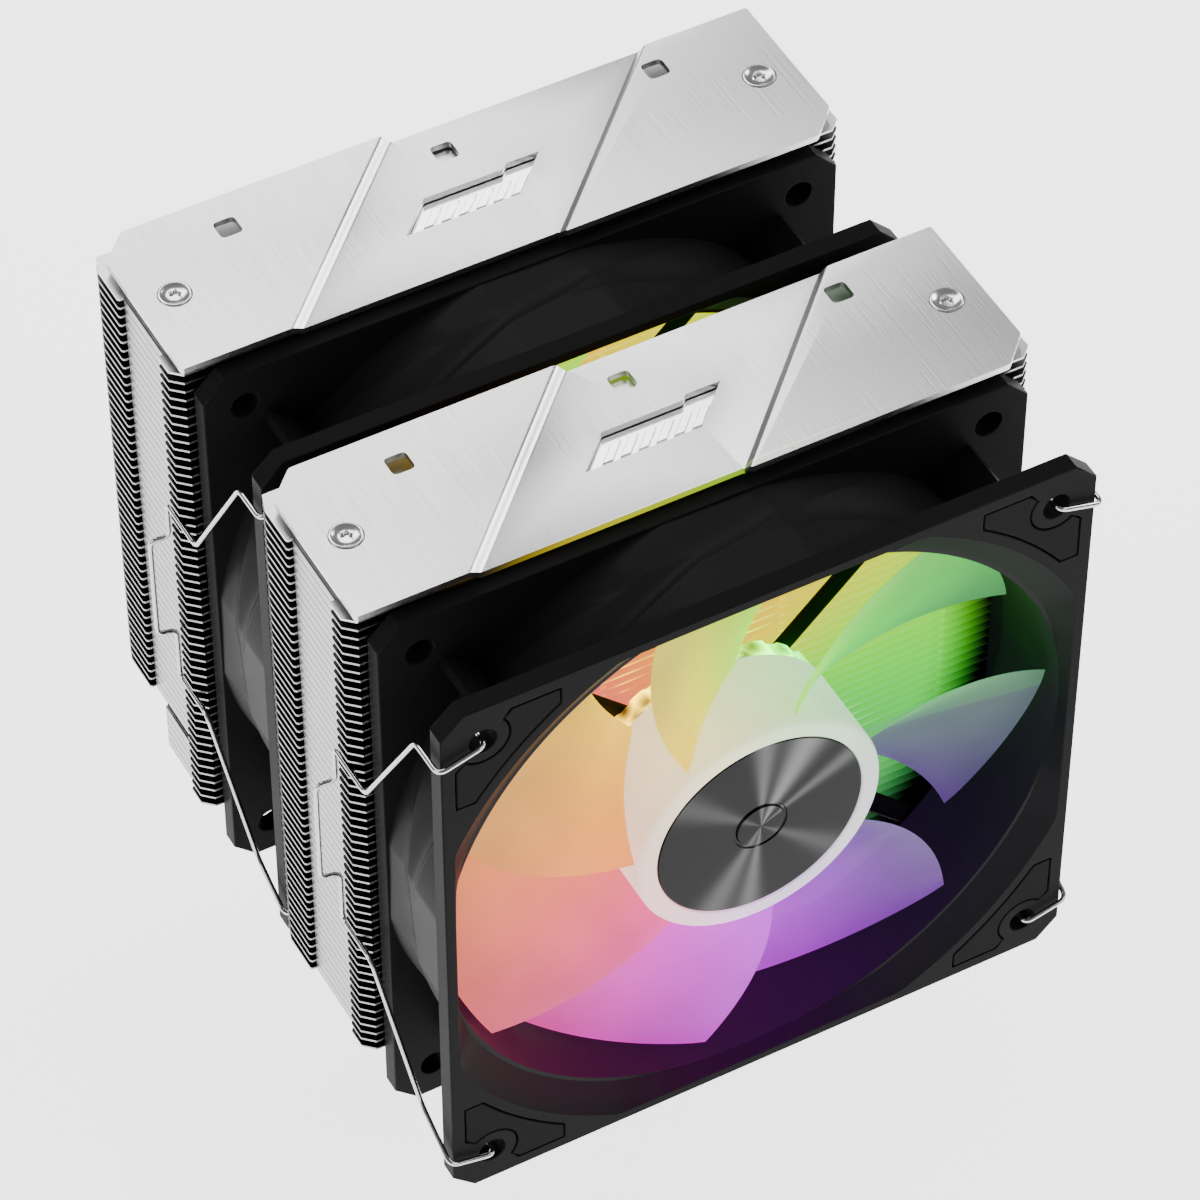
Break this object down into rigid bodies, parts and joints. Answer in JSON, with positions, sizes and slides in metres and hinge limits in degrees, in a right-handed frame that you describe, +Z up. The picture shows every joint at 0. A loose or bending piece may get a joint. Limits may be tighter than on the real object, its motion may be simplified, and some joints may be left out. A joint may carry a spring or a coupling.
{
  "type": "cpu tower cooler",
  "caption": "Dual-tower processor air cooler: finned towers on U-shaped heat pipes, brushed top covers and clipped 120 mm fans with lit translucent blades.",
  "frame": {"origin": "centre of the cold plate's lower face, which rests on the processor", "axes": "+Z up, away from the mainboard; air flows along +Y, so the front fan's intake faces -Y; +X to the right seen from the front"},
  "size_m": [0.134, 0.1218, 0.1574],
  "materials": {
    "nickel_plated_copper": "nickel plated, satin",
    "base_aluminium": "milled",
    "fin_aluminium": "rolled sheet",
    "cover_aluminium": "brushed",
    "badge_aluminium": "satin",
    "screw_steel": "turned, bright zinc",
    "bar_steel": "satin nickel",
    "spring_steel": "drawn wire",
    "clip_wire": "drawn spring wire",
    "frame_plastic": "fine grained",
    "pad_rubber": "matt",
    "frosted_plastic": "frosted, translucent",
    "cap_metal": "spun, black",
    "shaft_steel": "ground",
    "magnet_ferrite": "matt",
    "bearing_brass": "sintered",
    "board_laminate": "solder mask",
    "stator_copper": "wound enamelled wire"
  },
  "bodies": {
    "cooler": {"cold_plate": "nickel_plated_copper", "base_block": "base_aluminium", "heat_pipe_1": "nickel_plated_copper", "heat_pipe_2": "nickel_plated_copper", "heat_pipe_3": "nickel_plated_copper", "heat_pipe_4": "nickel_plated_copper", "heat_pipe_5": "nickel_plated_copper", "heat_pipe_6": "nickel_plated_copper", "mounting_bar": "bar_steel", "bar_screw_left": "screw_steel", "spring_left": "spring_steel", "bar_screw_right": "screw_steel", "spring_right": "spring_steel", "fin_stack_front": "fin_aluminium", "top_cover_front": "cover_aluminium", "badge_plate_front": "badge_aluminium", "cover_screw_front_left": "screw_steel", "cover_screw_front_right": "screw_steel", "fin_stack_rear": "fin_aluminium", "top_cover_rear": "cover_aluminium", "badge_plate_rear": "badge_aluminium", "cover_screw_rear_left": "screw_steel", "cover_screw_rear_right": "screw_steel", "fan_front_frame": "frame_plastic", "fan_front_pad_upper_right": "pad_rubber", "fan_front_pad_upper_left": "pad_rubber", "fan_front_pad_lower_left": "pad_rubber", "fan_front_pad_lower_right": "pad_rubber", "fan_front_bearing": "bearing_brass", "fan_front_circuit_board": "board_laminate", "fan_front_stator": "stator_copper", "fan_rear_frame": "frame_plastic", "fan_rear_pad_upper_right": "pad_rubber", "fan_rear_pad_upper_left": "pad_rubber", "fan_rear_pad_lower_left": "pad_rubber", "fan_rear_pad_lower_right": "pad_rubber", "fan_rear_bearing": "bearing_brass", "fan_rear_circuit_board": "board_laminate", "fan_rear_stator": "stator_copper"},
    "front_fan_rotor": {"fan_front_rotor": "frosted_plastic", "fan_front_hub_cap": "cap_metal", "fan_front_shaft": "shaft_steel", "fan_front_magnet_ring": "magnet_ferrite"},
    "front_left_clip": {"fan_front_clip_left": "clip_wire"},
    "front_right_clip": {"fan_front_clip_right": "clip_wire"},
    "rear_fan_rotor": {"fan_rear_rotor": "frosted_plastic", "fan_rear_hub_cap": "cap_metal", "fan_rear_shaft": "shaft_steel", "fan_rear_magnet_ring": "magnet_ferrite"},
    "rear_left_clip": {"fan_rear_clip_left": "clip_wire"},
    "rear_right_clip": {"fan_rear_clip_right": "clip_wire"},
    "left_spring_screw": {"spring_screw_left": "screw_steel", "retaining_ring_left": "spring_steel"},
    "right_spring_screw": {"spring_screw_right": "screw_steel", "retaining_ring_right": "spring_steel"}
  },
  "joints": [
    {"name": "front_fan_spin", "type": "hinge", "parent": "cooler", "child": "front_fan_rotor", "pos_m": [0, -0.05905, 0.094], "axis": [0, 1, 0], "continuous": true},
    {"name": "rear_fan_spin", "type": "hinge", "parent": "cooler", "child": "rear_fan_rotor", "pos_m": [0, 0.00325, 0.094], "axis": [0, 1, 0], "continuous": true},
    {"name": "front_left_clip_swing", "type": "hinge", "parent": "cooler", "child": "front_left_clip", "pos_m": [-0.0525, -0.07155, 0.094], "axis": [0, 0, 1], "range_deg": [0, 25]},
    {"name": "front_right_clip_swing", "type": "hinge", "parent": "cooler", "child": "front_right_clip", "pos_m": [0.0525, -0.07155, 0.094], "axis": [0, 0, -1], "range_deg": [0, 25]},
    {"name": "rear_left_clip_swing", "type": "hinge", "parent": "cooler", "child": "rear_left_clip", "pos_m": [-0.0525, -0.00925, 0.094], "axis": [0, 0, 1], "range_deg": [0, 25]},
    {"name": "rear_right_clip_swing", "type": "hinge", "parent": "cooler", "child": "rear_right_clip", "pos_m": [0.0525, -0.00925, 0.094], "axis": [0, 0, -1], "range_deg": [0, 25]},
    {"name": "left_screw_press", "type": "slide", "parent": "cooler", "child": "left_spring_screw", "axis": [0, 0, -1], "range_m": [0, 0.005], "stiffness_N_per_m": 1500, "springref_m": -0.003, "deforming": ["spring_left"]},
    {"name": "right_screw_press", "type": "slide", "parent": "cooler", "child": "right_spring_screw", "axis": [0, 0, -1], "range_m": [0, 0.005], "stiffness_N_per_m": 1500, "springref_m": -0.003, "deforming": ["spring_right"]}
  ]
}
